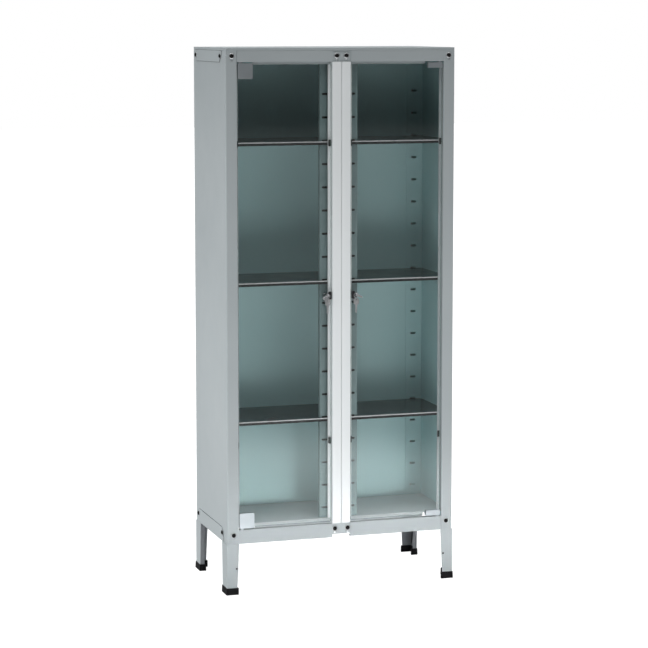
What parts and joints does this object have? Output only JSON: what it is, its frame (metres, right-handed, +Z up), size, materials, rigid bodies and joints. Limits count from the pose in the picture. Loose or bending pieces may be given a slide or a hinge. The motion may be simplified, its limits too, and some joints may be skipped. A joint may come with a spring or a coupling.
{
  "type": "glass door medical cabinet",
  "caption": "Tall painted steel medical cabinet on angle legs, with frameless glass doors on corner pivots, lever latches, slotted uprights and dark hooked shelves.",
  "frame": {"origin": "centre of the footprint, on the surface the foot caps stand on", "axes": "+Z up, +X to the right seen from the front, -Y towards the front"},
  "size_m": [0.756, 0.3994, 1.7],
  "materials": {
    "body_paint": "satin",
    "mullion_paint": "satin",
    "clamp_paint": "satin",
    "shelf_enamel": "gloss",
    "door_glass": "clear",
    "bumper_rubber": "matte",
    "foot_plastic": "matte",
    "lock_zinc": "gloss",
    "latch_chrome": "polished"
  },
  "bodies": {
    "cabinet_body": {"left_side_panel": "body_paint", "right_side_panel": "body_paint", "rear_left_upright": "body_paint", "rear_right_upright": "body_paint", "inner_back_panel": "body_paint", "rear_panel": "body_paint", "floor_panel": "body_paint", "top_panel": "body_paint", "front_top_rail": "body_paint", "front_bottom_rail": "body_paint", "rear_top_rail": "body_paint", "rear_bottom_rail": "body_paint", "left_top_rail": "body_paint", "left_bottom_rail": "body_paint", "right_top_rail": "body_paint", "right_bottom_rail": "body_paint", "centre_standard": "body_paint", "front_left_leg": "body_paint", "front_right_leg": "body_paint", "rear_left_leg": "body_paint", "rear_right_leg": "body_paint", "mullion_left": "mullion_paint", "mullion_right": "mullion_paint", "lower_shelf": "shelf_enamel", "middle_shelf": "shelf_enamel", "upper_shelf": "shelf_enamel", "front_left_foot_cap": "foot_plastic", "front_right_foot_cap": "foot_plastic", "rear_left_foot_cap": "foot_plastic", "rear_right_foot_cap": "foot_plastic", "left_upper_free_bumper": "bumper_rubber", "left_upper_hinge_bumper": "bumper_rubber", "left_lower_free_bumper": "bumper_rubber", "left_lower_hinge_bumper": "bumper_rubber", "right_upper_free_bumper": "bumper_rubber", "right_upper_hinge_bumper": "bumper_rubber", "right_lower_free_bumper": "bumper_rubber", "right_lower_hinge_bumper": "bumper_rubber", "top_bracket": "body_paint", "bottom_bracket": "body_paint", "lower_standard_spacer": "body_paint", "upper_standard_spacer": "body_paint"},
    "left_door": {"left_door_glass": "door_glass", "left_top_clamp": "clamp_paint", "left_bottom_clamp": "clamp_paint", "left_top_gasket": "bumper_rubber", "left_bottom_gasket": "bumper_rubber", "left_lock_body": "lock_zinc"},
    "right_door": {"right_door_glass": "door_glass", "right_top_clamp": "clamp_paint", "right_bottom_clamp": "clamp_paint", "right_top_gasket": "bumper_rubber", "right_bottom_gasket": "bumper_rubber", "right_lock_body": "lock_zinc"},
    "left_latch": {"left_lever": "latch_chrome", "left_cam": "latch_chrome"},
    "right_latch": {"right_lever": "latch_chrome", "right_cam": "latch_chrome"}
  },
  "joints": [
    {"name": "left_door_swing", "type": "hinge", "parent": "cabinet_body", "child": "left_door", "pos_m": [-0.3242, -0.17985, 0.93], "axis": [0, 0, -1], "range_deg": [0, 110]},
    {"name": "right_door_swing", "type": "hinge", "parent": "cabinet_body", "child": "right_door", "pos_m": [0.3242, -0.17985, 0.93], "axis": [0, 0, 1], "range_deg": [0, 110]},
    {"name": "left_latch_turn", "type": "hinge", "parent": "left_door", "child": "left_latch", "pos_m": [-0.047, -0.18735, 0.931], "axis": [0, -1, 0], "range_deg": [0, 90]},
    {"name": "right_latch_turn", "type": "hinge", "parent": "right_door", "child": "right_latch", "pos_m": [0.047, -0.18735, 0.931], "axis": [0, 1, 0], "range_deg": [0, 90]}
  ]
}
